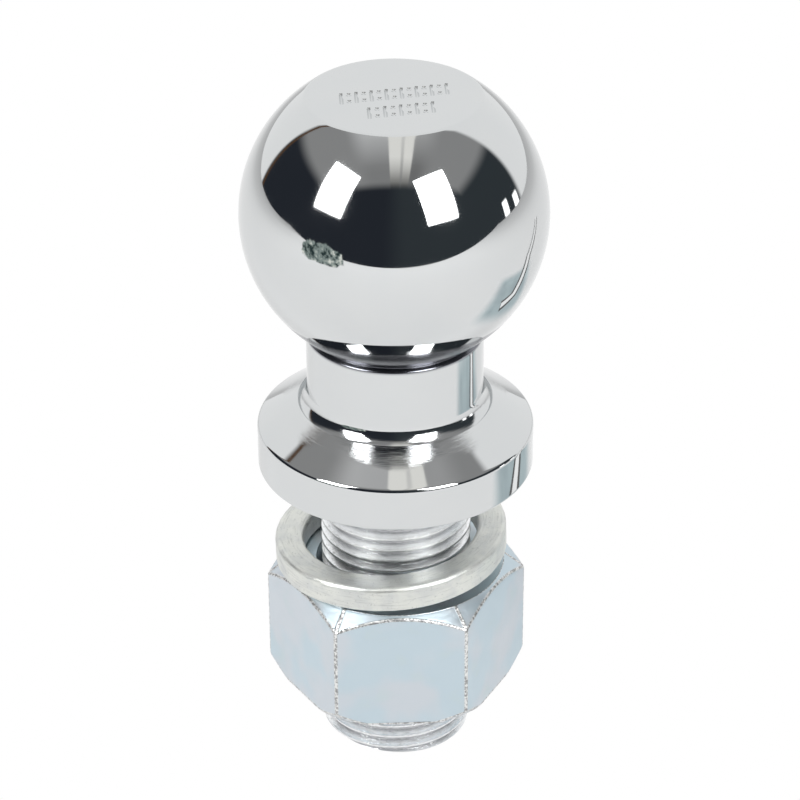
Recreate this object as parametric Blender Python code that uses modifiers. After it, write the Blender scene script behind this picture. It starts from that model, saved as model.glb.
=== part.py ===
"""Trailer hitch ball: a one-piece ball stud with its spring lock washer and hex nut.

Blender 4.5, metres, +Z up. The origin is the centre of the shank's flat end, which the stud stands
on. The nut's thread and the stud's thread are one helix, so they mesh at any height.
"""

import math

import bmesh
import bpy
from mathutils import Matrix, Vector

MM = 0.001

# Ball, neck and flange. Heights are above the shank's end.
BALL_RADIUS = 25.0 * MM
BALL_CENTRE = 98.2 * MM
BALL_TOP = 118.8 * MM
BALL_FLAT_RADIUS = 13.6 * MM
BALL_UNDERCUT_RADIUS = 14.2 * MM
GROOVE_RADIUS = 13.9 * MM
GROOVE_TOP = 77.5 * MM
GROOVE_BOTTOM = 77.3 * MM
NECK_RADIUS = 14.6 * MM
NECK_TOP = 76.9 * MM
NECK_BOTTOM = 65.2 * MM
NECK_FILLET = 3.0 * MM
FLANGE_RADIUS = 22.95 * MM
FLANGE_SHOULDER = 59.75 * MM
FLANGE_BOTTOM = 52.3 * MM
SEAT_INNER_RADIUS = 14.0 * MM
SEAT_DISH = 0.3 * MM
SHOULDER_ROUNDING = 0.9 * MM
EDGE_ROUNDING = 0.5 * MM
BALL_ARC_STEPS = 18
TURNED_STEPS = 48

# Shank and its thread, 1 in with 12 threads to the inch.
PITCH = 25.4 / 12 * MM
CREST_RADIUS = 12.65 * MM
THREAD_DEPTH = 1.15 * MM
ROOT_RADIUS = CREST_RADIUS - THREAD_DEPTH
END_RADIUS = 12.2 * MM
END_BLEND = 0.9 * MM
RELIEF_RADIUS = 12.3 * MM
THREAD_TOP = FLANGE_BOTTOM - 1.6 * MM
SHANK_TOP = FLANGE_BOTTOM + 3.0 * MM
THREAD_STEPS = 30
# One ridge's corners: offset from its middle in pitches, and height as a share of the depth.
RIDGE = ((-0.375, 0), (-0.0625, 1), (0.0625, 1), (0.375, 0))

# Hex nut, 1 1/2 in across flats.
NUT_CORNER_RADIUS = 38.1 / math.sqrt(3) * MM
NUT_BOTTOM = 11.0 * MM
NUT_TOP = 32.7 * MM
NUT_TOP_FACE_RADIUS = 18.4 * MM
NUT_TOP_CHAMFER = 3.0 * MM
NUT_BOTTOM_FACE_RADIUS = 19.8 * MM
NUT_BOTTOM_CHAMFER = 2.2 * MM
NUT_TURN = math.radians(32.3)
THREAD_CLEARANCE = 0.25 * MM
COUNTERSINK_RADIUS = 13.6 * MM
COUNTERSINK_DEPTH = 1.6 * MM
CUT_PAST_FACE = 0.5 * MM

# Spring lock washer: a split ring that climbs as it goes round, with its split at the back. It
# rests loosely on the nut, on its lower end and its left side, so it leans and is off centre.
WASHER_INNER_RADIUS = 14.8 * MM
WASHER_OUTER_RADIUS = 19.6 * MM
WASHER_THICKNESS = 4.4 * MM
WASHER_LIFT = 2.9 * MM
WASHER_SPLIT_ANGLE = math.radians(8)
WASHER_OFFSET = -0.75 * MM
WASHER_LEAN = math.radians(1.8)
WASHER_TOP_BEVEL = 0.8 * MM
WASHER_BOTTOM_BEVEL = 0.25 * MM
WASHER_STEPS = 36
RESTING_GAP = 0.2 * MM


def clear_scene():
    for obj in list(bpy.data.objects):
        bpy.data.objects.remove(obj)


def new_collection(name):
    collection = bpy.data.collections.new(name)
    bpy.context.scene.collection.children.link(collection)
    return collection


def new_metal(name, colour, roughness):
    material = bpy.data.materials.new(name)
    material.use_nodes = True
    shader = material.node_tree.nodes["Principled BSDF"]
    shader.inputs["Base Color"].default_value = (*colour, 1)
    shader.inputs["Metallic"].default_value = 1
    shader.inputs["Roughness"].default_value = roughness
    return material


def new_object(name, bm, collection):
    """Turn a bmesh into an object, smooth where its faces meet at shallow angles."""
    mesh = bpy.data.meshes.new(name)
    bm.to_mesh(mesh)
    bm.free()
    mesh.shade_smooth()
    mesh.set_sharp_from_angle(angle=math.radians(28))
    obj = bpy.data.objects.new(name, mesh)
    collection.objects.link(obj)
    return obj


def arc(radius, height, start, end, steps):
    """(radius, height) points on a circle centred on the axis; angles are measured from +Z."""
    angles = [start + (end - start) * i / steps for i in range(steps + 1)]
    return [(radius * math.sin(a), height + radius * math.cos(a)) for a in angles]


def rounded_corner(before, corner, after, rounding, steps):
    """The corner between two straight sides of an outline, as an arc of radius rounding."""
    corner = Vector(corner)
    side_in = (Vector(before) - corner).normalized()
    side_out = (Vector(after) - corner).normalized()
    half = side_in.angle(side_out) / 2
    centre = corner + (side_in + side_out).normalized() * rounding / math.sin(half)
    spoke = corner + side_in * rounding / math.tan(half) - centre
    end_spoke = corner + side_out * rounding / math.tan(half) - centre
    turn = -spoke.angle_signed(end_spoke)
    spokes = [Matrix.Rotation(turn * i / steps, 2) @ spoke for i in range(steps + 1)]
    return [tuple(centre + turned_spoke) for turned_spoke in spokes]


def stud_outline():
    """The stud from the middle of its flat top down its outer side to the flange's underside.

    The underside's outer ring is the seat on the drawbar. Inside it the underside is slightly
    dished, so that the seat stops clear of the shank.
    """
    undercut_angle = math.pi - math.asin(BALL_UNDERCUT_RADIUS / BALL_RADIUS)
    ball = arc(BALL_RADIUS, BALL_CENTRE, math.radians(36), undercut_angle, BALL_ARC_STEPS)
    neck_top = (NECK_RADIUS, NECK_TOP)
    neck_foot = (NECK_RADIUS, NECK_BOTTOM)
    shoulder = (FLANGE_RADIUS, FLANGE_SHOULDER)
    lower_edge = (FLANGE_RADIUS, FLANGE_BOTTOM)
    seat = (SEAT_INNER_RADIUS, FLANGE_BOTTOM)
    return [
        (0, BALL_TOP),
        (BALL_FLAT_RADIUS, BALL_TOP),
        *ball,
        (GROOVE_RADIUS, GROOVE_TOP),
        (GROOVE_RADIUS, GROOVE_BOTTOM),
        neck_top,
        *rounded_corner(neck_top, neck_foot, shoulder, NECK_FILLET, 4),
        *rounded_corner(neck_foot, shoulder, lower_edge, SHOULDER_ROUNDING, 4),
        *rounded_corner(shoulder, lower_edge, seat, EDGE_ROUNDING, 2),
        seat,
        (0, FLANGE_BOTTOM + SEAT_DISH),
    ]


def turned(name, outline, collection):
    """A lathe shape: the outline's (radius, height) points, spun round Z."""
    bm = bmesh.new()
    verts = [bm.verts.new((radius, 0, height)) for radius, height in outline]
    for upper, lower in zip(verts, verts[1:]):
        bm.edges.new((upper, lower))
    obj = new_object(name, bm, collection)
    spin = obj.modifiers.new("spin", "SCREW")
    spin.steps = spin.render_steps = TURNED_STEPS
    spin.use_merge_vertices = True
    spin.merge_threshold = 0.00001
    spin.use_smooth_shade = True
    return obj


def thread_column(angle, low, high, growth):
    """(radius, height) points up a right-hand thread, on the line that stands at angle round Z.

    low and high are the ends as (height, radius, blend length): over the blend length the ridges
    fade into a plain end of that radius. growth widens the whole thread, as a nut needs.
    """
    (low_z, low_radius, low_blend), (high_z, high_radius, high_blend) = low, high
    points = []
    for ridge in range(math.floor(low_z / PITCH) - 2, math.ceil(high_z / PITCH) + 2):
        for offset, share in RIDGE:
            height = (ridge + offset + angle / math.tau) * PITCH
            height = min(max(height, low_z), high_z)
            radius = ROOT_RADIUS + growth + share * THREAD_DEPTH
            near_low = max(0, 1 - (height - low_z) / low_blend)
            near_high = max(0, 1 - (high_z - height) / high_blend)
            radius += (low_radius - radius) * near_low + (high_radius - radius) * near_high
            points.append((radius, height))
    return points


def threaded_rod(name, low, high, plain_top, growth, collection):
    """A closed rod with a helical thread between two heights, and plain above it to plain_top.

    The ridges climb round the rod, so each column of points is higher than the last. Points past
    either end of the thread lie together on that end's edge, and are merged there.
    """
    bm = bmesh.new()
    columns = []
    for step in range(THREAD_STEPS + 1):
        angle = math.tau * step / THREAD_STEPS
        outline = thread_column(angle, low, high, growth) + [(high[1], plain_top)]
        along = Vector((math.cos(angle), math.sin(angle), 0))
        columns.append([bm.verts.new(along * radius + Vector((0, 0, z))) for radius, z in outline])
    for left, right in zip(columns, columns[1:]):
        for i in range(len(left) - 1):
            bm.faces.new((left[i], right[i], right[i + 1], left[i + 1]))
    bm.faces.new([column[0] for column in reversed(columns[:-1])])
    bm.faces.new([column[-1] for column in columns[:-1]])
    bmesh.ops.remove_doubles(bm, verts=bm.verts, dist=1e-6)
    return new_object(name, bm, collection)


def combine(obj, helper, operation):
    """Join, cut or trim obj with a helper that stays out of the finished part."""
    helper.hide_render = True
    helper.display_type = "WIRE"
    boolean = obj.modifiers.new(operation.lower(), "BOOLEAN")
    boolean.operation = operation
    boolean.object = helper


def make_ball_stud(parts, helpers):
    """Ball, neck and flange turned as one, joined to the threaded shank."""
    stud = turned("ball_stud", stud_outline(), parts)
    shank = threaded_rod(
        "threaded_shank",
        low=(0, END_RADIUS, END_BLEND),
        high=(THREAD_TOP, RELIEF_RADIUS, PITCH),
        plain_top=SHANK_TOP,
        growth=0,
        collection=helpers,
    )
    combine(stud, shank, "UNION")
    return stud


def nut_trim_outline():
    """Two cones, base to base, that cut the corners off a hexagon's ends.

    The lower cone is steep and starts outside the flats, so it takes off the corners alone.
    """
    waist = (NUT_TOP + NUT_BOTTOM) / 2
    top_slope = NUT_TOP_CHAMFER / (NUT_CORNER_RADIUS - NUT_TOP_FACE_RADIUS)
    bottom_slope = NUT_BOTTOM_CHAMFER / (NUT_CORNER_RADIUS - NUT_BOTTOM_FACE_RADIUS)
    widest = NUT_CORNER_RADIUS + 1 * MM
    return [
        (0, NUT_TOP + NUT_TOP_FACE_RADIUS * top_slope),
        (widest, NUT_TOP - (widest - NUT_TOP_FACE_RADIUS) * top_slope),
        (widest, waist),
        (widest, NUT_BOTTOM + (widest - NUT_BOTTOM_FACE_RADIUS) * bottom_slope),
        (0, NUT_BOTTOM - NUT_BOTTOM_FACE_RADIUS * bottom_slope),
    ]


def make_hex_nut(parts, helpers):
    """A hexagon with its end corners trimmed, and the stud's thread cut through it."""
    height = NUT_TOP - NUT_BOTTOM
    bm = bmesh.new()
    bmesh.ops.create_cone(
        bm,
        cap_ends=True,
        segments=6,
        radius1=NUT_CORNER_RADIUS,
        radius2=NUT_CORNER_RADIUS,
        depth=height,
        matrix=Matrix.Translation((0, 0, height / 2)),
    )
    nut = new_object("hex_nut", bm, parts)
    nut.location.z = NUT_BOTTOM
    nut.rotation_euler.z = NUT_TURN
    combine(nut, turned("nut_trim", nut_trim_outline(), helpers), "INTERSECT")
    reach = COUNTERSINK_DEPTH + CUT_PAST_FACE
    thread = threaded_rod(
        "nut_thread",
        low=(NUT_BOTTOM - CUT_PAST_FACE, COUNTERSINK_RADIUS, reach),
        high=(NUT_TOP + CUT_PAST_FACE, COUNTERSINK_RADIUS, reach),
        plain_top=NUT_TOP + 2 * CUT_PAST_FACE,
        growth=THREAD_CLEARANCE,
        collection=helpers,
    )
    combine(nut, thread, "DIFFERENCE")
    return nut


def washer_section():
    """The lock washer's bevelled section, as (radius, height) points round its edge."""
    inner, outer, top = WASHER_INNER_RADIUS, WASHER_OUTER_RADIUS, WASHER_THICKNESS
    return [
        (inner + WASHER_BOTTOM_BEVEL, 0),
        (outer - WASHER_BOTTOM_BEVEL, 0),
        (outer, WASHER_BOTTOM_BEVEL),
        (outer, top - WASHER_TOP_BEVEL),
        (outer - WASHER_TOP_BEVEL, top),
        (inner + WASHER_TOP_BEVEL, top),
        (inner, top - WASHER_TOP_BEVEL),
        (inner, WASHER_BOTTOM_BEVEL),
    ]


def make_lock_washer(parts):
    """The section swept once round Z, climbing by the lift, from one side of the split."""
    bm = bmesh.new()
    start = math.radians(90) + WASHER_SPLIT_ANGLE / 2
    along = Vector((math.cos(start), math.sin(start), 0))
    face = bm.faces.new(
        bm.verts.new(along * radius + Vector((0, 0, z))) for radius, z in washer_section()
    )
    bmesh.ops.spin(
        bm,
        geom=[face, *face.edges, *face.verts],
        cent=(0, 0, 0),
        axis=(0, 0, 1),
        dvec=(0, 0, WASHER_LIFT / WASHER_STEPS),
        angle=math.tau - WASHER_SPLIT_ANGLE,
        steps=WASHER_STEPS,
    )
    bmesh.ops.recalc_face_normals(bm, faces=bm.faces)
    washer = new_object("lock_washer", bm, parts)
    washer.location = (WASHER_OFFSET, 0, NUT_TOP + RESTING_GAP)
    washer.rotation_euler.y = -WASHER_LEAN
    return washer


def main():
    clear_scene()
    parts = new_collection("trailer_hitch_ball")
    helpers = new_collection("helpers")
    chrome = new_metal("chrome", (0.83, 0.84, 0.85), 0.06)
    nut_zinc = new_metal("clear_zinc", (0.68, 0.72, 0.75), 0.38)
    washer_zinc = new_metal("dull_zinc", (0.66, 0.66, 0.64), 0.45)
    make_ball_stud(parts, helpers).data.materials.append(chrome)
    make_lock_washer(parts).data.materials.append(washer_zinc)
    make_hex_nut(parts, helpers).data.materials.append(nut_zinc)


main()
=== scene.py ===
"""Looks of the trailer hitch ball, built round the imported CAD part.

Three pieces stand for the three CAD nodes: the chromed ball stud with its rolled thread, the spring
lock washer and the hex nut. Metres, +Z up, in the part's own frame.
"""

import math

import bmesh
import bpy
import numpy as np
from mathutils import Euler, Matrix, Vector, noise
from mathutils.geometry import delaunay_2d_cdt


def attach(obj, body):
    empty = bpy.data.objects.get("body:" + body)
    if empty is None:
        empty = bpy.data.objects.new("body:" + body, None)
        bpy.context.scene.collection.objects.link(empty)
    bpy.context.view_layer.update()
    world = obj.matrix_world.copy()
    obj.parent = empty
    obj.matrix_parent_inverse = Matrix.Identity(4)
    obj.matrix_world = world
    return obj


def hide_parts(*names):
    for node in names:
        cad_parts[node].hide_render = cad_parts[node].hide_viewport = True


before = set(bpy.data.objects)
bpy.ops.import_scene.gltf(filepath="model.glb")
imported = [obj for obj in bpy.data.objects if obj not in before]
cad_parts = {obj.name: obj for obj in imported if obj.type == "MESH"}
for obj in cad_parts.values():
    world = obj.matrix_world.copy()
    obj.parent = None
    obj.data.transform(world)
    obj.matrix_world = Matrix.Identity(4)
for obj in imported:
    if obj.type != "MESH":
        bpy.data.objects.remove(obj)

MM = 0.001

# Ball, neck and flange. Heights are above the shank's end.
BALL_RADIUS = 25.0 * MM
BALL_CENTRE = 98.2 * MM
BALL_TOP = 118.8 * MM
FLAT_ROUNDING = 1.0 * MM
UNDERCUT_RADIUS = 14.2 * MM
UNDERCUT_ROUNDING, GROOVE_ROUNDING, RELIEF_ROUNDING = 0.1 * MM, 0.4 * MM, 0.35 * MM
GROOVE_RADIUS = 13.9 * MM
GROOVE_HEIGHT = 77.4 * MM
NECK_RADIUS = 14.6 * MM
NECK_TOP = 76.9 * MM
# The neck runs into its fillet, which ends at the foot of a low wall inside the flange's cone. A
# fillet arc is its radius, then where it starts and ends, in degrees that its normal turns down.
FILLET_TOP = 66.58 * MM
FILLET_ARCS = ((3.15 * MM, 0, 38), (4.45 * MM, 38, 53))
FILLET_STEPS = 8
RIDGE_RADIUS = 16.21 * MM
RIDGE_TOP = 64.19 * MM
RIDGE_EDGE = 0.06 * MM
RIDGE_LEAN = 0.02 * MM
FLANGE_RADIUS = 22.95 * MM
FLANGE_SHOULDER = 59.76 * MM
FLANGE_BOTTOM = 52.3 * MM
SHOULDER_ROUNDING = 0.9 * MM
EDGE_ROUNDING = 0.5 * MM
SEAT_INNER_RADIUS = 14.0 * MM
SEAT_DISH = 0.04 * MM
RELIEF_RADIUS = 12.3 * MM
STUD_COLUMNS = 240
BALL_ROWS = 72
SUPPORT = 0.12 * MM
LONGEST_ROW = 1.6 * MM
SHARP_ANGLE = math.radians(32)

# Punch marks on the ball's flat, in millimetres: rows of bars with pairs of dots between them.
# A row is its middle, its length and its number of bars.
MARK_ROWS = (((0.1, 0.75), 17.0, 8), ((1.2, -5.2), 10.2, 5))
MARK_TURN = math.radians(12)
MARK_LEAN = math.radians(-9)
BAR_SIZE = (0.34, 2.1)
DOT_SIZE = (0.46, 0.62)
DOT_SPREAD = 1.25
MARK_DEPTH = 0.26
# A mark's wall, as shares of its half width inwards, and depths.
MARK_WALL = ((0.0, 0.0), (0.5, 0.7 * MARK_DEPTH), (0.85, MARK_DEPTH))

# Thread, 1 in with 12 to the inch. A ridge's points are offsets in pitches from its middle, and
# heights as shares of the depth.
PITCH = 25.4 / 12 * MM
CREST_RADIUS = 12.65 * MM
THREAD_DEPTH = 1.15 * MM
ROOT_RADIUS = CREST_RADIUS - THREAD_DEPTH
END_RADIUS = 12.2 * MM
END_BLEND = 0.9 * MM
THREAD_TOP = FLANGE_BOTTOM - 1.6 * MM
RIDGE = (
    (-0.45, 0.0),
    (-0.365, 0.04),
    (-0.30, 0.20),
    (-0.17, 0.68),
    (-0.085, 0.96),
    (0.0, 1.0),
    (0.085, 0.96),
    (0.17, 0.68),
    (0.30, 0.20),
    (0.365, 0.04),
)
THREAD_GRAIN, THREAD_ROUGHNESS = 0.5 * MM, 0.012 * MM

# Hex nut, 1 1/2 in across flats.
NUT_APOTHEM = 19.05 * MM
NUT_BOTTOM = 11.0 * MM
NUT_TOP = 32.7 * MM
NUT_TOP_FACE_RADIUS = 18.4 * MM
NUT_BOTTOM_FACE_RADIUS = 19.8 * MM
NUT_CORNER_RADIUS = 2 * NUT_APOTHEM / math.sqrt(3)
# How far the cones that cut the nut's corners reach down from the top and up from the bottom.
NUT_TOP_CUT, NUT_BOTTOM_CUT = 3.0 * MM, 2.2 * MM
NUT_TOP_SLOPE = NUT_TOP_CUT / (NUT_CORNER_RADIUS - NUT_TOP_FACE_RADIUS)
NUT_BOTTOM_SLOPE = NUT_BOTTOM_CUT / (NUT_CORNER_RADIUS - NUT_BOTTOM_FACE_RADIUS)
NUT_CORNER_ANGLE = math.radians(2.3)
NUT_CORNER_ROUNDING = 0.7 * MM
NUT_EDGE_BLEND = 0.5 * MM
NUT_EDGE_ROUNDING = 0.15 * MM
NUT_TOP_EDGE = 0.12 * MM
# How far up from the bottom and down from the top the nut's rows are closer together.
NUT_LOWER_ZONE, NUT_UPPER_ZONE = 2.8 * MM, 4.2 * MM
# How far the worn look reaches from the nut's corners, cut edges and foot.
CORNER_WEAR, CUT_WEAR, FOOT_WEAR = 0.42 * MM, 0.35 * MM, 0.3 * MM
NUT_GRAIN, NUT_ROUGHNESS = 0.7 * MM, 0.02 * MM
THREAD_CLEARANCE = 0.25 * MM
COUNTERSINK_RADIUS = 13.6 * MM
COUNTERSINK_DEPTH = 1.6 * MM

# Spring lock washer.
WASHER_INNER_RADIUS = 14.8 * MM
WASHER_OUTER_RADIUS = 19.6 * MM
WASHER_THICKNESS = 4.4 * MM
WASHER_LIFT = 2.9 * MM
WASHER_SPLIT_ANGLE = math.radians(8)
WASHER_OFFSET = -0.75 * MM
WASHER_LEAN = math.radians(1.8)
WASHER_GAP = 0.2 * MM
WASHER_FOOT_ROUNDING, WASHER_OUTER_ROUNDING, WASHER_INNER_ROUNDING = 0.3 * MM, 0.85 * MM, 0.8 * MM
WASHER_GRAIN, WASHER_ROUGHNESS = 1.3 * MM, 0.03 * MM
WASHER_STEPS = 240

# Colours, and where the stud's finish changes: below RECESS_TOP, where the chrome is also darkened
# # as painted shade, and inwards across TURNED_CONE.
CHROME, CHROME_SMUDGED = (0.655, 0.672, 0.682, 1), (0.69, 0.70, 0.70, 1)
# Painted shade: this colour darkens the chrome in the recess under the ball.
RECESS_SHADE = (0.22, 0.225, 0.25, 1)
# The second thread colour is painted shade, for the darkening in the thread's grooves.
THREAD_CREST, THREAD_ROOT_SHADE = (0.93, 0.94, 0.95, 1), (0.36, 0.37, 0.39, 1)
THREAD_STREAK = (0.4, 0.4, 0.4, 1)
RECESS_TOP = 83.2 * MM
TURNED_CONE = (20.0 * MM, 18.0 * MM)
ZINC_BLUE, ZINC_PINK = (0.575, 0.675, 0.735, 1), (0.635, 0.68, 0.725, 1)
ZINC_GREEN = (0.60, 0.69, 0.71, 1)
BARE_EDGE, DIRTY_EDGE = (0.84, 0.84, 0.83, 1), (0.34, 0.34, 0.34, 1)
WASHER_PALE, WASHER_GREY = (0.77, 0.78, 0.74, 1), (0.67, 0.685, 0.67, 1)
WASHER_STREAK, WASHER_PIT = (0.48, 0.49, 0.48, 1), (0.42, 0.43, 0.42, 1)

# Camera: a long lens looking down at the ball from the front.
CAMERA_SIDE = 0.786 * MM
CAMERA_DISTANCE = 0.53
CAMERA_RISE = math.radians(27.25)
CAMERA_PITCH = math.radians(30.5)
CAMERA_ROLL = math.radians(-0.27)
CAMERA_LENS = 148.5
CAMERA_CLIP_START = 0.01

# Table. Its glow falls from the first value to the second between two distances from the part.
TABLE_EDGE = -0.445
TABLE_REACH = 2.5
TABLE_COLOUR = 0.4
TABLE_GLOW, TABLE_GLOW_FAR = 0.495, 0.33
TABLE_GLOW_DISTANCES = (0.3, 0.9)

# Lamps: azimuth from the front, elevation, width and height in degrees.
SOFTBOXES = {"softbox_left": (-53.0, 33.5, 24.0, 33.0), "softbox_right": (37.5, 32.5, 25.0, 35.0)}
LAMP_DISTANCE = 1.3
SOFTBOX_GLOW = 9.0
SOFTBOX_FRAME = 0.02

# Room. The backdrop is behind the ball, past an azimuth on each side, with a doorway at its left
# end. A wall's rise is its height over its distance. The small lamps are azimuth and elevation,
# and how far they reach each way, in degrees.
BACKDROP_LEFT, BACKDROP_RIGHT = -120.0, 106.0
BACKDROP = (0.97, 0.975, 0.975, 1)
DOORWAY = (0.10, 0.055, 0.03, 1)
FRONT_WALL_RISE, SIDE_WALL_RISE = 0.97, 0.59
WALL_TOP_BLEND = (-0.03, 0.15)
DARK_WALL_LEFT, DARK_WALL_RIGHT = (0.022, 0.026, 0.034, 1), (0.036, 0.044, 0.050, 1)
SMALL_LAMPS = ((91.0, 2.0), (103.0, -0.5))
SMALL_LAMP_REACH, SMALL_LAMP_SOFTNESS, SMALL_LAMP_GLOW = (2.5, 4.0), (0.8, 1.0), 3.0

# Ceiling. Places on it are tangents: across to the right, and along towards the front. A fade is
# (place along, brightness) pairs.
STRIP_MIDDLE, STRIP_HALF_WIDTH = 0.089, 0.149
SEAM_PLACE, SEAM_HALF_WIDTH = 0.106, 0.018
STRIP_EDGE = 0.012
STRIP_TINT = (1.0, 0.985, 0.94, 1)
STRIP_FADE = (
    (0.4, 0.95),
    (0.53, 0.76),
    (0.62, 0.62),
    (0.71, 0.47),
    (0.81, 0.32),
    (0.92, 0.22),
    (1.0, 0.17),
)
CEILING_FADE = ((0.05, 0.58), (0.22, 0.48), (0.37, 0.385), (0.53, 0.29), (0.65, 0.27))
CEILING_RIGHT, CEILING_SIDES = 0.75, 0.31

# Things round the ball that only reflections show. On the table, sizes are in millimetres. A strip
# of the rod is its name, half its width, its height and its brightness.
ROD_PATH = ((87, 19), (98, 40), (170, 69), (277, 164))
ROD_STRIPS = (("rod_edge", 10, 1, 0.14), ("rod", 5, 2, 1.1))
CLOTH_MIDDLE, CLOTH_SIZE = (108, 30), (100, 105)
CLOTH_EDGE = 12 * MM
CLOTH_DARK, CLOTH_PALE = (0.34, 0.40, 0.43, 1), (0.66, 0.78, 0.80, 1)
HEAP_DISTANCE, HEAP_HEIGHT = 0.26, 0.112
HEAP_SPAN = (-76, -24)
HEAP_DARK, HEAP_GREEN = (0.03, 0.05, 0.05, 1), (0.30, 0.36, 0.34, 1)
HEAP_PALE = (0.90, 0.92, 0.84, 1)


# Outlines -----------------------------------------------------------------------------------------


def arc(radius, height, start, end, steps, out=0.0):
    """(radius, height) points on a circle centred at (out, height); angles are from +Z."""
    angles = np.linspace(start, end, steps + 1)
    return [(out + radius * math.sin(a), height + radius * math.cos(a)) for a in angles]


def rounded_corner(before, corner, after, rounding, steps):
    """The corner between two straight sides of an outline, as an arc of radius rounding."""
    corner = Vector(corner)
    side_in = (Vector(before) - corner).normalized()
    side_out = (Vector(after) - corner).normalized()
    half = side_in.angle(side_out) / 2
    centre = corner + (side_in + side_out).normalized() * rounding / math.sin(half)
    spoke = corner + side_in * rounding / math.tan(half) - centre
    end_spoke = corner + side_out * rounding / math.tan(half) - centre
    turn = -spoke.angle_signed(end_spoke)
    spokes = [Matrix.Rotation(turn * i / steps, 2) @ spoke for i in range(steps + 1)]
    return [tuple(centre + turned_spoke) for turned_spoke in spokes]


def supported(outline):
    """The outline with points close to both ends of each long straight, and along it.

    They keep the shading of a rounded edge from bleeding over the flat beside it.
    """
    points = [outline[0]]
    for start, end in zip(outline, outline[1:]):
        start, end = Vector(start), Vector(end)
        length = (end - start).length
        if length > 6 * SUPPORT:
            inner = max(1, math.ceil((length - 2 * SUPPORT) / LONGEST_ROW))
            runs = [SUPPORT + (length - 2 * SUPPORT) * i / inner for i in range(inner + 1)]
            points += [tuple(start.lerp(end, run / length)) for run in runs]
        points.append(tuple(end))
    return points


# Meshes -------------------------------------------------------------------------------------------


def new_piece(name, bm, material, body, node):
    """Finish a closed bmesh as the piece that stands for a CAD node."""
    bmesh.ops.remove_doubles(bm, verts=bm.verts, dist=1e-6)
    bmesh.ops.recalc_face_normals(bm, faces=bm.faces)
    mesh = bpy.data.meshes.new(name)
    bm.to_mesh(mesh)
    bm.free()
    mesh.shade_smooth()
    mesh.set_sharp_from_angle(angle=SHARP_ANGLE)
    mesh.materials.append(material)
    piece = bpy.data.objects.new(name, mesh)
    bpy.context.scene.collection.objects.link(piece)
    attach(piece, body)
    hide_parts(node)
    return piece


def add_grid(bm, columns, layers=()):
    """Quads between neighbouring columns of points; layers are (vertex layer, values) pairs."""
    rows = []
    for i, column in enumerate(columns):
        verts = [bm.verts.new(point) for point in column]
        for layer, values in layers:
            for vert, value in zip(verts, values[i]):
                vert[layer] = value
        rows.append(verts)
    for left, right in zip(rows, rows[1:]):
        for j in range(len(left) - 1):
            bm.faces.new((left[j], right[j], right[j + 1], left[j + 1]))


def around(angle, outline):
    """(radius, height) points as an array of points on the line at an angle round Z."""
    radius, height = np.array(outline).T
    return np.stack([radius * math.cos(angle), radius * math.sin(angle), height], 1)


def thread_rows(angle, low, high, growth=0.0):
    """(radius, height) points up a right-hand thread, at an angle round Z.

    low and high are the ends as (height, radius, blend length): over the blend length the ridges
    fade into a plain end of that radius. Rows past an end lie on it, and are welded there.
    """
    (low_z, low_radius, low_blend), (high_z, high_radius, high_blend) = low, high
    ridges = range(math.floor(low_z / PITCH) - 2, math.ceil(high_z / PITCH) + 2)
    outline = [(ridge + place, share) for ridge in ridges for place, share in RIDGE]
    offset, share = np.array(outline).T
    height = np.clip((offset + angle / math.tau) * PITCH, low_z, high_z)
    radius = ROOT_RADIUS + growth + share * THREAD_DEPTH
    near_low = np.clip(1 - (height - low_z) / low_blend, 0, 1)
    near_high = np.clip(1 - (high_z - height) / high_blend, 0, 1)
    radius = radius + (low_radius - radius) * near_low + (high_radius - radius) * near_high
    return list(zip(radius, height))


def cut_end(rows):
    """Thread rows cut off square at the shank's end, with the ridges bevelled there."""
    radius, height = np.array(rows).T
    kept = np.clip(height, 0, None)
    bevel = END_RADIUS + kept * (CREST_RADIUS - END_RADIUS) / END_BLEND
    return list(zip(np.minimum(np.interp(kept, height, radius), bevel), kept))


def roughened(points, size, amount):
    """Move points in or out from the axis by noise of the given grain size."""
    moved = []
    for x, y, z in points:
        bump = amount * noise.fractal((x / size, y / size, z / size), 0.6, 2.1, 3)
        scale = 1 + bump / math.hypot(x, y)
        moved.append((x * scale, y * scale, z))
    return moved


# Ball stud ----------------------------------------------------------------------------------------


def neck_fillet():
    """The fillet at the neck's foot, then the low wall up to the flange's cone."""
    points, foot = [], Vector((NECK_RADIUS, FILLET_TOP))
    for radius, start, end in FILLET_ARCS:
        turns = np.radians(np.linspace(start, end, FILLET_STEPS + 1))
        centre = foot + Vector((math.cos(turns[0]), math.sin(turns[0]))) * radius
        points += [tuple(centre - Vector((math.cos(t), math.sin(t))) * radius) for t in turns[1:]]
        foot = Vector(points[-1])
    wall = RIDGE_RADIUS - RIDGE_EDGE
    return [*points, (wall - RIDGE_LEAN, foot[1]), (wall, RIDGE_TOP), (RIDGE_RADIUS, RIDGE_TOP)]


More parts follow.
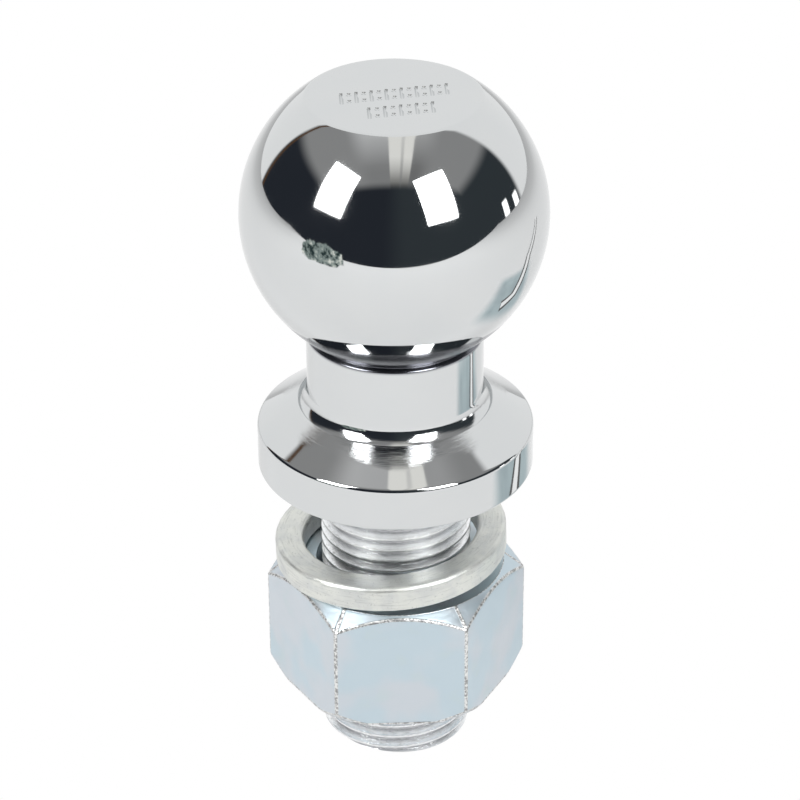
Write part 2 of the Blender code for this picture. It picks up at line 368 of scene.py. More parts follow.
def body_outline():
    """The stud from the edge of its flat top down to the top of its thread."""
    reach = BALL_RADIUS - FLAT_ROUNDING
    edge_centre = math.sqrt(reach**2 - (BALL_TOP - FLAT_ROUNDING - BALL_CENTRE) ** 2)
    ball_start = math.atan2(edge_centre, BALL_TOP - FLAT_ROUNDING - BALL_CENTRE)
    ball_end = math.pi - math.asin(UNDERCUT_RADIUS / BALL_RADIUS)
    edge = arc(FLAT_ROUNDING, BALL_TOP - FLAT_ROUNDING, 0, ball_start, 6, out=edge_centre)
    ball = arc(BALL_RADIUS, BALL_CENTRE, ball_start, ball_end, BALL_ROWS)
    neck_top, fillet_top = (NECK_RADIUS, NECK_TOP), (NECK_RADIUS, FILLET_TOP)
    fillet = neck_fillet()
    shoulder, lower_edge = (FLANGE_RADIUS, FLANGE_SHOULDER), (FLANGE_RADIUS, FLANGE_BOTTOM)
    seat = (SEAT_INNER_RADIUS, FLANGE_BOTTOM)
    groove = (GROOVE_RADIUS, GROOVE_HEIGHT)
    relief_top = (RELIEF_RADIUS, FLANGE_BOTTOM + SEAT_DISH)
    thread_top = (RELIEF_RADIUS, THREAD_TOP)
    return supported(
        [
            (edge_centre - SUPPORT, BALL_TOP),
            *edge,
            *ball[1:],
            *rounded_corner(ball[-1], groove, neck_top, UNDERCUT_ROUNDING, 4),
            *rounded_corner(groove, neck_top, fillet_top, GROOVE_ROUNDING, 4),
            fillet_top,
            *fillet,
            *rounded_corner(fillet[-1], shoulder, lower_edge, SHOULDER_ROUNDING, 8),
            *rounded_corner(shoulder, lower_edge, seat, EDGE_ROUNDING, 5),
            seat,
            *rounded_corner(seat, relief_top, thread_top, RELIEF_ROUNDING, 4),
            thread_top,
        ]
    )


def marks():
    """(middle, half width, half length) of each punch mark on the flat."""
    along_row = Matrix.Rotation(MARK_TURN, 2)
    up = Matrix.Rotation(MARK_TURN + MARK_LEAN, 2) @ Vector((0, DOT_SPREAD))
    for middle, length, bars in MARK_ROWS:
        step = length / (bars - 1) / 2
        for i in range(2 * bars - 1):
            centre = Vector(middle) + along_row @ Vector((step * (i - bars + 1), 0))
            if i % 2 == 0:
                yield centre, *BAR_SIZE
            else:
                yield centre + up, *DOT_SIZE
                yield centre - up, *DOT_SIZE


def mark_outline(centre, half_width, half_length, inset):
    """Points round a mark, which is a bar with round ends, narrowed by inset."""
    radius = half_width - inset
    ends = [(half_length - half_width, -math.pi / 2), (half_width - half_length, math.pi / 2)]
    turn = Matrix.Rotation(MARK_TURN + MARK_LEAN, 2)
    points = []
    for along, start in ends:
        for angle in np.linspace(start, start + math.pi, 7):
            point = Vector((-radius * math.sin(angle), along + radius * math.cos(angle)))
            points.append(tuple(centre + turn @ point))
    return points


def add_stamped_flat(bm, radius):
    """The ball's flat top with its rows of punch marks sunk in.

    A mark is three outlines, one in the next, from the flat down to the mark's floor.
    """
    ring = [math.tau * i / STUD_COLUMNS for i in range(STUD_COLUMNS)]
    points = [(radius / MM * math.cos(a), radius / MM * math.sin(a)) for a in ring]
    depths = [0.0] * len(points)
    edges = [(i, (i + 1) % STUD_COLUMNS) for i in range(STUD_COLUMNS)]
    for centre, half_width, half_length in marks():
        for share, depth in MARK_WALL:
            first = len(points)
            outline = mark_outline(centre, half_width, half_length, share * half_width)
            points += outline
            depths += [depth] * len(outline)
            edges += [(first + i, first + (i + 1) % len(outline)) for i in range(len(outline))]
    flat = delaunay_2d_cdt([Vector(p) for p in points], edges, [], 0, 1e-5)
    verts = []
    for place, sources in zip(flat[0], flat[3]):
        depth = depths[sources[0]] if sources else 0.0
        verts.append(bm.verts.new((place.x * MM, place.y * MM, BALL_TOP - depth * MM)))
    for face in flat[2]:
        bm.faces.new([verts[i] for i in face])


def make_ball_stud(material):
    """Columns from the flat's edge to the shank's end, closed by the flat and the end's disc."""
    bm = bmesh.new()
    body = body_outline()
    low, high = (-PITCH, END_RADIUS, END_BLEND), (THREAD_TOP, RELIEF_RADIUS, PITCH)
    columns = []
    for i in range(STUD_COLUMNS + 1):
        angle = math.tau * (i % STUD_COLUMNS) / STUD_COLUMNS
        thread = cut_end(thread_rows(math.tau * i / STUD_COLUMNS, low, high))
        thread = roughened(around(angle, thread[::-1]), THREAD_GRAIN, THREAD_ROUGHNESS)
        columns.append([*around(angle, body[:-1]), *thread])
    add_grid(bm, columns)
    add_stamped_flat(bm, body[0][0])
    bm.faces.new([bm.verts.new(column[-1]) for column in columns[:-1]])
    return new_piece("ball_stud_forging", bm, material, "stud", "ball_stud")


# Hex nut ------------------------------------------------------------------------------------------


def from_side_middle(angle):
    """The angle from the middle of the hexagon's nearest side."""
    return (angle - NUT_CORNER_ANGLE) % (math.pi / 3) - math.pi / 6


def rounding_start():
    """The angle from the middle of a side at which the corner's rounding starts."""
    return math.atan2((NUT_APOTHEM - NUT_CORNER_ROUNDING) * math.tan(math.pi / 6), NUT_APOTHEM)


def nut_angles():
    """Angles round the nut, close together at its corners."""
    dense, tangent = math.radians(24.5), rounding_start()
    half = np.concatenate(
        [
            np.linspace(0, dense, 14)[:-1],
            np.linspace(dense, tangent, 10)[:-1],
            np.linspace(tangent, math.pi / 6, 4),
        ]
    )
    sector = np.concatenate([-half[::-1], half[1:]])
    corner = NUT_CORNER_ANGLE + math.pi / 6
    angles = [corner + side * math.pi / 3 + sector[:-1] for side in range(6)]
    return np.concatenate([*angles, [corner + 2 * math.pi - math.pi / 6]])


def hexagon_radius(angle):
    """How far the hexagon's side is from the axis at an angle, with its corners rounded."""
    side_angle = from_side_middle(angle)
    if abs(side_angle) < rounding_start():
        return NUT_APOTHEM / math.cos(side_angle)
    from_corner = math.pi / 6 - abs(side_angle)
    centre = (NUT_APOTHEM - NUT_CORNER_ROUNDING) / math.cos(math.pi / 6)
    across = centre * math.sin(from_corner)
    return centre * math.cos(from_corner) + math.sqrt(NUT_CORNER_ROUNDING**2 - across**2)


def soft_least(first, second, blend):
    """The smaller of two lengths, with the corner between them rounded off."""
    near = np.clip(blend - np.abs(first - second), 0, None) / blend
    return np.minimum(first, second) - near**2 * blend / 4


def nut_side(angle, heights):
    """Radius of the nut's outside at some heights: the hexagon with both its ends' corners cut."""
    hexagon = hexagon_radius(angle)
    top_cone = NUT_TOP_FACE_RADIUS + (NUT_TOP - heights) / NUT_TOP_SLOPE
    bottom_cone = NUT_BOTTOM_FACE_RADIUS + (heights - NUT_BOTTOM) / NUT_BOTTOM_SLOPE
    radius = soft_least(soft_least(hexagon, top_cone, NUT_EDGE_BLEND), bottom_cone, NUT_EDGE_BLEND)
    return radius, hexagon, top_cone, bottom_cone


def side_heights():
    """Rows up the nut's side, close together where its corners are cut."""
    lowest, highest = NUT_BOTTOM + NUT_EDGE_ROUNDING, NUT_TOP - NUT_TOP_EDGE
    lower, upper = NUT_BOTTOM + NUT_LOWER_ZONE, NUT_TOP - NUT_UPPER_ZONE
    bottom, middle = np.linspace(lowest, lower, 12), np.linspace(lower, upper, 22)
    return np.concatenate([bottom[:-1], middle[:-1], np.linspace(upper, highest, 36)])


def nearness(distance, reach):
    """1 at no distance, and nearly 0 beyond twice the reach."""
    return np.exp(-((distance / reach) ** 2))


def nut_wear(angle, heights):
    """How worn points on the nut's side look: 1 on its edges, and 0 on its flats."""
    _, hexagon, top_cone, bottom_cone = nut_side(angle, heights)
    from_corner = (math.pi / 6 - abs(from_side_middle(angle))) * hexagon
    wear = nearness(from_corner, CORNER_WEAR) * np.ones(len(heights))
    for cut in (top_cone, bottom_cone):
        wear = np.maximum(wear, nearness(hexagon - cut, CUT_WEAR))
    return np.maximum(wear, nearness(heights - heights[0], FOOT_WEAR))


def nut_column(angle):
    """A closed loop of points round the nut's section, and how worn each looks.

    It goes from the bore out across the bottom face, up the side, in across the top and down the
    thread.
    """
    heights = side_heights()
    radius = nut_side(angle, heights)[0]
    foot, rim = radius[0] - NUT_EDGE_ROUNDING, radius[-1]
    bottom = [
        (COUNTERSINK_RADIUS + (foot - COUNTERSINK_RADIUS) * share, NUT_BOTTOM)
        for share in (0, 0.02, 0.35, 0.7, 0.98)
    ]
    lower_edge = [
        (foot + NUT_EDGE_ROUNDING * math.sin(a), heights[0] - NUT_EDGE_ROUNDING * math.cos(a))
        for a in np.radians([0, 22, 45, 68])
    ]
    upper_edge = [(rim - 0.2 * MM, NUT_TOP)]
    top = [(rim + (COUNTERSINK_RADIUS - rim) * share, NUT_TOP) for share in (0.06, 0.3, 0.6, 0.96)]
    ends = [(height, COUNTERSINK_RADIUS, COUNTERSINK_DEPTH) for height in (NUT_BOTTOM, NUT_TOP)]
    thread = thread_rows(angle, *ends, growth=THREAD_CLEARANCE)[::-1]
    outline = [*bottom, *lower_edge, *zip(radius, heights), *upper_edge, *top, *thread]
    wear = [0.0] * 4 + [0.5] + [1.0] * 4 + [*nut_wear(angle, heights), 0.8]
    return outline, wear + [0.0] * (len(outline) - len(wear))


def make_hex_nut(material):
    """The section's loops, joined round the axis."""
    bm = bmesh.new()
    layer = bm.verts.layers.float.new("edge")
    columns, wear = [], []
    for angle in nut_angles():
        outline, worn = nut_column(angle)
        columns.append(roughened(around(angle, outline), NUT_GRAIN, NUT_ROUGHNESS))
        wear.append(worn)
    add_grid(bm, columns, [(layer, wear)])
    return new_piece("hex_nut_forging", bm, material, "nut", "hex_nut")


# Spring lock washer -------------------------------------------------------------------------------


def washer_section():
    """The washer's section as a loop of (radius, height) points: rounded above, flat below."""
    inner, outer, top = WASHER_INNER_RADIUS, WASHER_OUTER_RADIUS, WASHER_THICKNESS
    low_in, low_out = (inner, 0), (outer, 0)
    high_out, high_in = (outer, top), (inner, top)
    middle = ((inner + outer) / 2, 0)
    return supported(
        [
            middle,
            *rounded_corner(low_in, low_out, high_out, WASHER_FOOT_ROUNDING, 4),
            *rounded_corner(low_out, high_out, high_in, WASHER_OUTER_ROUNDING, 8),
            *rounded_corner(high_out, high_in, low_in, WASHER_INNER_ROUNDING, 8),
            *rounded_corner(high_in, low_in, low_out, WASHER_FOOT_ROUNDING, 4),
            middle,
        ]
    )


def make_lock_washer(material):
    """The section swept once round, climbing as a coil does, from one side of the split."""
    bm = bmesh.new()
    layer = bm.verts.layers.float_vector.new("coil")
    section = washer_section()
    start = math.pi / 2 + WASHER_SPLIT_ANGLE / 2
    place = Matrix.Translation((WASHER_OFFSET, 0, NUT_TOP + WASHER_GAP))
    place = place @ Euler((0, -WASHER_LEAN, 0)).to_matrix().to_4x4()
    columns, coil = [], []
    for i in range(WASHER_STEPS + 1):
        share = i / WASHER_STEPS
        turn = (math.tau - WASHER_SPLIT_ANGLE) * share
        climbed = [(radius, height + WASHER_LIFT * share) for radius, height in section]
        points = roughened(around(start + turn, climbed), WASHER_GRAIN, WASHER_ROUGHNESS)
        columns.append([place @ Vector(point) for point in points])
        coil.append([Vector((radius, turn * WASHER_OUTER_RADIUS, z)) for radius, z in section])
    add_grid(bm, columns, [(layer, coil)])
    for end, flip in ((0, 1), (-1, -1)):
        verts = [bm.verts.new(point) for point in columns[end][:-1]]
        for vert, value in zip(verts, coil[end]):
            vert[layer] = value
        bm.faces.new(verts[::flip])
    return new_piece("spring_washer", bm, material, "washer", "lock_washer")


# Nodes --------------------------------------------------------------------------------------------


def add(tree, kind, inputs=(), **settings):
    """A new node. inputs maps a socket's name or number to a value or to another node's output."""
    node = tree.nodes.new(kind)
    for name, value in settings.items():
        setattr(node, name, value)
    for name, value in dict(inputs).items():
        if isinstance(value, bpy.types.NodeSocket):
            tree.links.new(value, node.inputs[name])
        else:
            node.inputs[name].default_value = value
    return node


def maths(tree, operation, first, second=0.0):
    """The result of a Math node."""
    return add(tree, "ShaderNodeMath", {0: first, 1: second}, operation=operation).outputs[0]


def times(tree, first, second):
    return maths(tree, "MULTIPLY", first, second)


def scaled(tree, vector, scale):
    """A vector multiplied by another, axis by axis."""
    inputs = {0: vector, 1: scale}
    return add(tree, "ShaderNodeVectorMath", inputs, operation="MULTIPLY").outputs[0]


def length_of(tree, vector):
    node = add(tree, "ShaderNodeVectorMath", {0: vector}, operation="LENGTH")
    return node.outputs["Value"]


def split(tree, vector):
    """A vector's three numbers."""
    return add(tree, "ShaderNodeSeparateXYZ", {0: vector}).outputs


def object_place(tree):
    return add(tree, "ShaderNodeTexCoord").outputs["Object"]


def ramp(tree, value, start, end, low=0.0, high=1.0):
    """value turned smoothly from low at start to high at end."""
    inputs = {"Value": value, "From Min": start, "From Max": end, "To Min": low, "To Max": high}
    return add(tree, "ShaderNodeMapRange", inputs, interpolation_type="SMOOTHSTEP").outputs[0]


def near(tree, value, middle, half_width, softness):
    """1 where value is within half_width of middle, and 0 beyond."""
    distance = maths(tree, "ABSOLUTE", maths(tree, "SUBTRACT", value, middle))
    return ramp(tree, distance, half_width + softness, half_width - softness)


def blend(tree, share, first, second, mode="MIX"):
    """A mix of two colours."""
    inputs = {0: share, 6: first, 7: second}
    return add(tree, "ShaderNodeMix", inputs, data_type="RGBA", blend_type=mode).outputs[2]


def grain(tree, vector, scale, detail=2.0, roughness=0.5):
    """Noise from 0 to 1; scale is how many grains there are to a unit of the vector."""
    inputs = {"Vector": vector, "Scale": scale, "Detail": detail, "Roughness": roughness}
    return add(tree, "ShaderNodeTexNoise", inputs).outputs["Fac"]


def bump(tree, height, distance, strength, normal=None):
    """A normal for a height from 0 to 1 that stands for a distance, on top of another normal."""
    inputs = {"Height": height, "Distance": distance, "Strength": strength}
    if normal is not None:
        inputs["Normal"] = normal
    return add(tree, "ShaderNodeBump", inputs).outputs[0]


def grey(value):
    return (value, value, value, 1.0)


def metal(name, build):
    """A metal. build(tree) makes its patterns, and says which shader socket each feeds."""
    material = bpy.data.materials.new(name)
    material.use_nodes = True
    tree = material.node_tree
    shader = tree.nodes["Principled BSDF"]
    shader.inputs["Metallic"].default_value = 1.0
    for socket, source in build(tree).items():
        tree.links.new(source, shader.inputs[socket])
    return material


# Materials ----------------------------------------------------------------------------------------


def stud_zones(tree, height, radius):
    """Where the stud is threaded, recessed under the ball, and turned at the foot of the neck."""
    threaded = ramp(tree, height, FLANGE_BOTTOM + 0.1 * MM, FLANGE_BOTTOM - 0.1 * MM)
    below_ball = ramp(tree, height, RECESS_TOP + 0.5 * MM, RECESS_TOP - 0.5 * MM)
    recess = times(tree, below_ball, ramp(tree, height, NECK_TOP - 0.6 * MM, NECK_TOP))
    low = ramp(tree, height, FILLET_TOP, FILLET_TOP - 2 * MM)
    return threaded, recess, times(tree, low, ramp(tree, radius, *TURNED_CONE))


def lathe_rings(tree, level, radius):
    """Fine grain drawn out into rings round the axis."""
    outwards = add(tree, "ShaderNodeCombineXYZ", {2: times(tree, radius, 14000.0)}).outputs[0]
    level = scaled(tree, level, (160.0, 160.0, 160.0))
    return grain(tree, add(tree, "ShaderNodeVectorMath", {0: level, 1: outwards}).outputs[0], 1.0)


def chrome_nodes(tree):
    """Mirror chrome with faint smudges, dull lathe-marked zones and a rough rolled thread.

    Painted shade darkens the recess under the ball and the grooves of the thread.
    """
    place = object_place(tree)
    axes = split(tree, place)
    level = add(tree, "ShaderNodeCombineXYZ", {0: axes[0], 1: axes[1]}).outputs[0]
    radius = length_of(tree, level)
    threaded, recess, turned = stud_zones(tree, axes[2], radius)
    smudge = grain(tree, place, 120.0, 3.0)
    streaks = grain(tree, scaled(tree, place, (900.0, 900.0, 7000.0)), 1.0, 3.0, 0.65)

    dulled = maths(tree, "ADD", times(tree, recess, 0.14), times(tree, turned, 0.05))
    polished = maths(tree, "ADD", ramp(tree, smudge, 0.35, 0.75, 0.025, 0.07), dulled)
    rolled = ramp(tree, streaks, 0.35, 0.65, 0.14, 0.26)
    roughness = add(tree, "ShaderNodeMix", {0: threaded, 2: polished, 3: rolled}).outputs[0]

    # Painted shade: the thread's colour darkens from its crests down into its grooves.
    groove_shade = ramp(tree, radius, CREST_RADIUS - 0.25 * MM, ROOT_RADIUS, 0.0, 0.55)
    thread_tint = blend(tree, groove_shade, THREAD_CREST, THREAD_ROOT_SHADE)
    streaked = ramp(tree, streaks, 0.54, 0.66, 0, 0.35)
    thread_tint = blend(tree, streaked, thread_tint, THREAD_STREAK)
    # The recess under the ball gets painted shade: its chrome is mixed to a dark grey.
    tint = blend(tree, recess, blend(tree, smudge, CHROME, CHROME_SMUDGED), RECESS_SHADE)
    tint = blend(tree, threaded, tint, thread_tint)

    marked = maths(tree, "MAXIMUM", recess, turned)
    rings = bump(tree, times(tree, lathe_rings(tree, level, radius), marked), 0.00003, 0.35)
    normal = bump(tree, times(tree, streaks, threaded), 0.00016, 0.5, rings)
    return {"Base Color": tint, "Roughness": roughness, "Normal": normal}


def nut_nodes(tree):
    """Satin blue-white zinc with faint pink clouds, and narrow, speckled edges."""
    place = object_place(tree)
    edge = add(tree, "ShaderNodeAttribute", attribute_name="edge").outputs["Fac"]
    clouds = grain(tree, place, 95.0)
    patches = grain(tree, place, 220.0, 3.0)
    speckle = grain(tree, place, 2200.0, 3.0, 0.7)
    worn = ramp(tree, edge, 0.3, 0.75)

    tint = blend(tree, ramp(tree, clouds, 0.42, 0.62), ZINC_BLUE, ZINC_PINK)
    tint = blend(tree, ramp(tree, patches, 0.55, 0.75, 0.0, 0.5), tint, ZINC_GREEN)
    bare = blend(tree, ramp(tree, speckle, 0.47, 0.55), BARE_EDGE, DIRTY_EDGE)
    roughness = ramp(tree, patches, 0.3, 0.7, 0.34, 0.42)
    satin = bump(tree, grain(tree, place, 900.0, 3.0), 0.00004, 0.35)
    return {
        "Base Color": blend(tree, worn, tint, bare),
        "Roughness": maths(tree, "SUBTRACT", roughness, times(tree, edge, 0.08)),
        "Normal": bump(tree, times(tree, speckle, worn), 0.0002, 0.6, satin),
    }


def washer_nodes(tree):
    """Dull zinc with streaks that run round the coil, and small pits."""
    coil = add(tree, "ShaderNodeAttribute", attribute_name="coil").outputs["Vector"]
    place = object_place(tree)
    streaks = grain(tree, scaled(tree, coil, (3200.0, 260.0, 3200.0)), 1.0, 3.0, 0.6)
    patches = grain(tree, place, 300.0, 3.0)
    pits = grain(tree, place, 2000.0, 3.0, 0.7)

    tint = blend(tree, ramp(tree, patches, 0.35, 0.7), WASHER_PALE, WASHER_GREY)
    tint = blend(tree, ramp(tree, streaks, 0.52, 0.72, 0.0, 0.45), tint, WASHER_STREAK)
    tint = blend(tree, ramp(tree, pits, 0.6, 0.68, 0.0, 0.5), tint, WASHER_PIT)
    lines = bump(tree, streaks, 0.00012, 0.6)
    return {
        "Base Color": tint,
        "Roughness": ramp(tree, streaks, 0.3, 0.7, 0.34, 0.5),
        "Normal": bump(tree, pits, 0.00008, 0.5, lines),
    }


# Studio -------------------------------------------------------------------------------------------


def gradient(tree, value, stops):
    """value turned into a grey, straight from stop to stop; stops are (value, brightness) pairs."""
    node = add(tree, "ShaderNodeValToRGB", {0: value})
    elements = node.color_ramp.elements
    for element, (place, brightness) in zip(elements, (stops[0], stops[-1])):
        element.position, element.color = place, grey(brightness)
    for place, brightness in stops[1:-1]:
        elements.new(place).color = grey(brightness)
    return node.outputs["Color"]


def azimuth_of(tree, axes):
    """The direction round Z in degrees, from the front and to the right."""
    ahead = times(tree, axes[1], -1.0)
    return times(tree, maths(tree, "ARCTAN2", axes[0], ahead), math.degrees(1))


def camera_sees(tree, plain, other):
    """plain to the camera itself, and other to the rays that light and reflect."""
    seen = add(tree, "ShaderNodeLightPath").outputs["Is Camera Ray"]
    return add(tree, "ShaderNodeMixShader", {0: seen, 1: other, 2: plain}).outputs[0]


def ceiling_colour(tree, axes):
    """A grey ceiling with a bright strip down it, both fading towards the front."""
    height = maths(tree, "MAXIMUM", axes[2], 0.05)
    across = maths(tree, "DIVIDE", axes[0], height)
    along = maths(tree, "DIVIDE", times(tree, axes[1], -1.0), height)
    ceiling = gradient(tree, along, CEILING_FADE)
    right = ramp(tree, across, STRIP_MIDDLE, STRIP_MIDDLE + 0.2)
    ceiling = blend(tree, right, ceiling, grey(CEILING_RIGHT), "MULTIPLY")
    beside = ramp(tree, maths(tree, "ABSOLUTE", across), 0.3, 0.6)
    ceiling = blend(tree, beside, ceiling, grey(CEILING_SIDES))
    strip = near(tree, across, STRIP_MIDDLE, STRIP_HALF_WIDTH, STRIP_EDGE)
    seam = near(tree, across, SEAM_PLACE, SEAM_HALF_WIDTH, STRIP_EDGE)
    strip = maths(tree, "SUBTRACT", strip, times(tree, seam, 0.5))
    glow = blend(tree, 1.0, gradient(tree, along, STRIP_FADE), STRIP_TINT, "MULTIPLY")
    return blend(tree, strip, ceiling, glow)


def room_colour(tree, axes, azimuth):
    """Dark walls in front and at the sides under the ceiling, and a white backdrop behind."""
    wall = blend(tree, ramp(tree, azimuth, -10, 10), DARK_WALL_LEFT, DARK_WALL_RIGHT)
    front_rise = times(tree, times(tree, axes[1], -1.0), FRONT_WALL_RISE)
    side_rise = times(tree, maths(tree, "ABSOLUTE", axes[0]), SIDE_WALL_RISE)
    wall_top = maths(tree, "MAXIMUM", front_rise, side_rise)
    above_walls = ramp(tree, maths(tree, "SUBTRACT", axes[2], wall_top), *WALL_TOP_BLEND)
    room = blend(tree, above_walls, wall, ceiling_colour(tree, axes))
    past_left = ramp(tree, azimuth, BACKDROP_LEFT, BACKDROP_LEFT - 2.5)
    past_right = ramp(tree, azimuth, BACKDROP_RIGHT, BACKDROP_RIGHT + 5)
    room = blend(tree, maths(tree, "MAXIMUM", past_left, past_right), room, BACKDROP)
    return blend(tree, near(tree, azimuth, BACKDROP_LEFT + 1, 1.0, 0.5), room, DOORWAY)


def studio_world():
    """The room that is reflected, which the camera itself sees as plain white."""
    world = bpy.data.worlds.new("studio")
    world.use_nodes = True
    tree = world.node_tree
    tree.nodes.clear()
    axes = split(tree, add(tree, "ShaderNodeTexCoord").outputs["Generated"])
    azimuth = azimuth_of(tree, axes)
    elevation = times(tree, maths(tree, "ARCSINE", axes[2]), math.degrees(1))
    colour = room_colour(tree, axes, azimuth)
    for lamp in SMALL_LAMPS:
        facts = zip((azimuth, elevation), lamp, SMALL_LAMP_REACH, SMALL_LAMP_SOFTNESS)
        inside = times(tree, *(near(tree, *fact) for fact in facts))
        colour = blend(tree, inside, colour, grey(SMALL_LAMP_GLOW))
    room = add(tree, "ShaderNodeBackground", {"Color": colour}).outputs[0]
    plain = add(tree, "ShaderNodeBackground", {"Color": grey(1.0)}).outputs[0]
    add(tree, "ShaderNodeOutputWorld", {"Surface": camera_sees(tree, plain, room)})
    bpy.context.scene.world = world


def fade_to_frame(light):
    """Make a softbox's light fade out at its edges."""
    light.use_nodes = True
    tree = light.node_tree
    sides = split(tree, add(tree, "ShaderNodeNewGeometry").outputs["Parametric"])
    lit = [near(tree, side, 0.5, 0.5 - SOFTBOX_FRAME, SOFTBOX_FRAME) for side in sides[:2]]
    tree.links.new(times(tree, *lit), tree.nodes["Emission"].inputs["Strength"])


def make_softbox(name, azimuth, elevation, width, height):
    """A rectangular lamp that faces the ball; its width and height are the angles that it fills."""
    around_z, up = math.radians(azimuth), math.radians(elevation)
    level = math.cos(up)
    towards = Vector((math.sin(around_z) * level, -math.cos(around_z) * level, math.sin(up)))
    light = bpy.data.lights.new(name, "AREA")
    light.shape = "RECTANGLE"
    light.size = 2 * LAMP_DISTANCE * math.tan(math.radians(width / 2))
    light.size_y = 2 * LAMP_DISTANCE * math.tan(math.radians(height / 2))
    light.energy = SOFTBOX_GLOW * math.pi * light.size * light.size_y
    fade_to_frame(light)
    lamp = bpy.data.objects.new(name, light)
    lamp.location = Vector((0, 0, BALL_CENTRE)) + towards * LAMP_DISTANCE
    lamp.rotation_mode = "QUATERNION"
    lamp.rotation_quaternion = towards.to_track_quat("Z", "Y")
    lamp.visible_camera = False
    bpy.context.scene.collection.objects.link(lamp)


def stage_object(name, points, faces, material):
    """Something that stands round the part and isn't a piece of it."""
    mesh = bpy.data.meshes.new(name)
    mesh.from_pydata(points, [], faces)
    mesh.materials.append(material)
    thing = bpy.data.objects.new(name, mesh)
    bpy.context.scene.collection.objects.link(thing)
    return thing


def reflected_object(name, points, faces, material):
    """A stage object that only reflections show."""
    thing = stage_object(name, points, faces, material)
    thing.visible_camera = False
    thing.visible_shadow = False


def make_table():
    """A white table top: plain white to the camera, and softly lit for everything it lights."""
    material = bpy.data.materials.new("white_table")
    material.use_nodes = True
    tree = material.node_tree
    shader = tree.nodes["Principled BSDF"]
    shader.inputs["Base Color"].default_value = grey(TABLE_COLOUR)
    shader.inputs["Roughness"].default_value = 1.0
    shader.inputs["Specular IOR Level"].default_value = 0.0
    shader.inputs["Emission Color"].default_value = grey(1.0)
    distance = length_of(tree, object_place(tree))
    glow = ramp(tree, distance, *TABLE_GLOW_DISTANCES, TABLE_GLOW, TABLE_GLOW_FAR)
    tree.links.new(glow, shader.inputs["Emission Strength"])
    plain = add(tree, "ShaderNodeEmission", {"Color": grey(1.0)}).outputs[0]
    surface = camera_sees(tree, plain, shader.outputs[0])
    tree.links.new(surface, tree.nodes["Material Output"].inputs["Surface"])
    corners = [(-1, TABLE_EDGE), (1, TABLE_EDGE), (1, TABLE_REACH), (-1, TABLE_REACH)]
    stage_object("table", [(x * TABLE_REACH, y, 0) for x, y in corners], [(0, 1, 2, 3)], material)


def glowing(name, colour, cover=None):
    """A material that gives off a colour, or the colours that colour(tree, place) makes.

    cover(tree, place) says where it isn't see-through.
    """
    material = bpy.data.materials.new(name)
    material.use_nodes = True
    tree = material.node_tree
    place = object_place(tree)
    shade = colour(tree, place) if callable(colour) else colour
    glow = add(tree, "ShaderNodeEmission", {"Color": shade}).outputs[0]
    if cover is not None:
        clear = add(tree, "ShaderNodeBsdfTransparent").outputs[0]
        shares = {0: cover(tree, place), 1: clear, 2: glow}
        glow = add(tree, "ShaderNodeMixShader", shares).outputs[0]
    tree.links.new(glow, tree.nodes["Material Output"].inputs["Surface"])
    return material


def ribbon(pairs):
    """The points and faces of a band between two rows of points."""
    points = [point for pair in pairs for point in pair]
    faces = [(i, i + 1, i + 3, i + 2) for i in range(0, len(points) - 2, 2)]
    return points, faces


def make_rod():
    """A bright rod with dark edges on the table, right of the ball."""
    path = [Vector(point) for point in ROD_PATH]
    for name, half_width, height, brightness in ROD_STRIPS:
        pairs = []
        for before, (x, y), after in zip([path[0], *path], path, [*path[1:], path[-1]]):
            side = (after - before).normalized().orthogonal() * half_width
            edges = [(x - side.x, y - side.y), (x + side.x, y + side.y)]
            pairs.append([(a * MM, b * MM, height * MM) for a, b in edges])
        reflected_object(name, *ribbon(pairs), glowing(name, grey(brightness)))


def cloth_colour(tree, place):
    return blend(tree, grain(tree, place, 40.0), CLOTH_DARK, CLOTH_PALE)


def cloth_cover(tree, place):
    """The cloth's rectangle, with soft edges."""
    inside = [
        near(tree, axis, middle * MM, size * MM / 2 - CLOTH_EDGE, CLOTH_EDGE)
        for axis, middle, size in zip(split(tree, place)[:2], CLOTH_MIDDLE, CLOTH_SIZE)
    ]
    return times(tree, *inside)


def make_cloth():
    """A soft-edged grey-blue cloth on the table, right of the ball."""
    (x, y), (width, depth) = CLOTH_MIDDLE, CLOTH_SIZE
    corners = [(-0.5, -0.5), (0.5, -0.5), (0.5, 0.5), (-0.5, 0.5)]
    points = [((x + a * width) * MM, (y + b * depth) * MM, 0.5 * MM) for a, b in corners]
    material = glowing("cloth", cloth_colour, cloth_cover)
    reflected_object("cloth", points, [(0, 1, 2, 3)], material)


def heap_colour(tree, place):
    """Dark and green grain with pale specks."""
    rough = grain(tree, place, 60.0, 3.0, 0.6)
    shade = blend(tree, ramp(tree, rough, 0.40, 0.52), HEAP_DARK, HEAP_GREEN)
    return blend(tree, ramp(tree, rough, 0.54, 0.66), shade, HEAP_PALE)


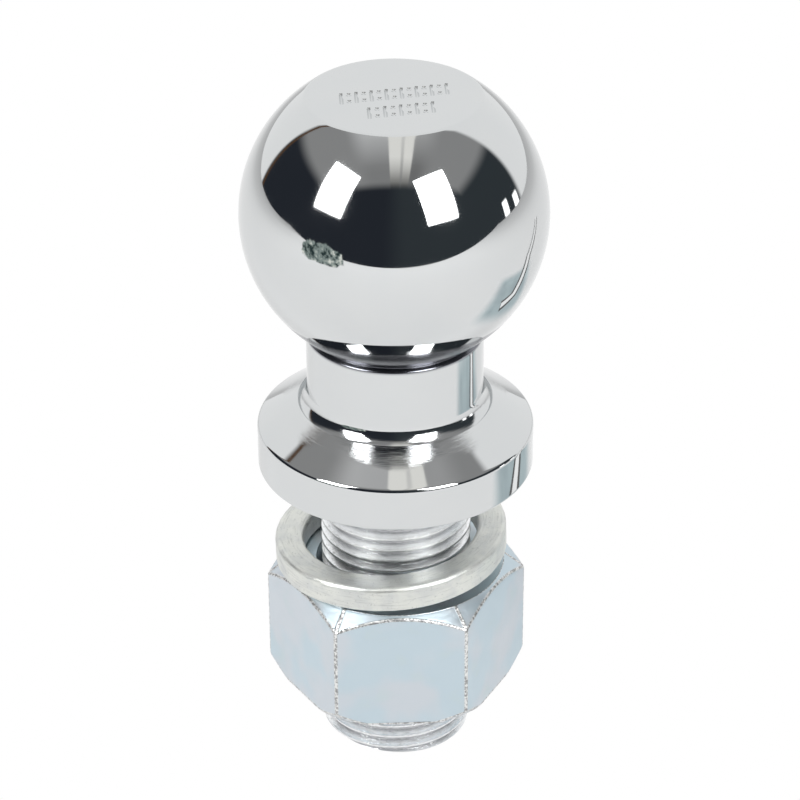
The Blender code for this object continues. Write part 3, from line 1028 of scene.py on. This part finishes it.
def heap_cover(tree, place):
    """A ragged outline that keeps clear of the sheet's edges."""
    axes = split(tree, place)
    middle, reach = sum(HEAP_SPAN) / 2, (HEAP_SPAN[1] - HEAP_SPAN[0]) / 2
    inside = near(tree, azimuth_of(tree, axes), middle, 0.5 * reach, 0.5 * reach)
    low = near(tree, axes[2], 0.5 * HEAP_HEIGHT, 0.25 * HEAP_HEIGHT, 0.25 * HEAP_HEIGHT)
    ragged = maths(tree, "ADD", times(tree, inside, low), grain(tree, place, 22.0, 3.0, 0.6))
    return ramp(tree, ragged, 0.80, 0.90)


def make_heap():
    """A speckled heap in front of the ball and to its left, as an upright curved sheet."""
    pairs = []
    for azimuth in np.radians(np.linspace(*HEAP_SPAN, 13)):
        foot = Vector((math.sin(azimuth), -math.cos(azimuth), 0)) * HEAP_DISTANCE
        pairs.append([(foot.x, foot.y, HEAP_HEIGHT), tuple(foot)])
    reflected_object("heap", *ribbon(pairs), glowing("heap", heap_colour, heap_cover))


def make_camera():
    """The front view, from above the ball and aimed below it."""
    camera = bpy.data.objects.new("camera", bpy.data.cameras.new("camera"))
    camera.data.sensor_width = 36
    camera.data.lens = CAMERA_LENS
    camera.data.clip_start = CAMERA_CLIP_START
    ahead = -CAMERA_DISTANCE * math.cos(CAMERA_RISE)
    camera.location = (CAMERA_SIDE, ahead, BALL_CENTRE + CAMERA_DISTANCE * math.sin(CAMERA_RISE))
    look = Euler((math.pi / 2 - CAMERA_PITCH, 0, 0)).to_matrix()
    look = look @ Matrix.Rotation(CAMERA_ROLL, 3, "Z")
    camera.rotation_euler = look.to_euler()
    bpy.context.scene.collection.objects.link(camera)
    bpy.context.scene.camera = camera


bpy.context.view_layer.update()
make_ball_stud(metal("chrome", chrome_nodes))
make_hex_nut(metal("nut_zinc", nut_nodes))
make_lock_washer(metal("washer_zinc", washer_nodes))
studio_world()
for lamp_name, facts in SOFTBOXES.items():
    make_softbox(lamp_name, *facts)
make_table()
make_rod()
make_cloth()
make_heap()
make_camera()
bpy.context.scene.view_settings.view_transform = "Standard"
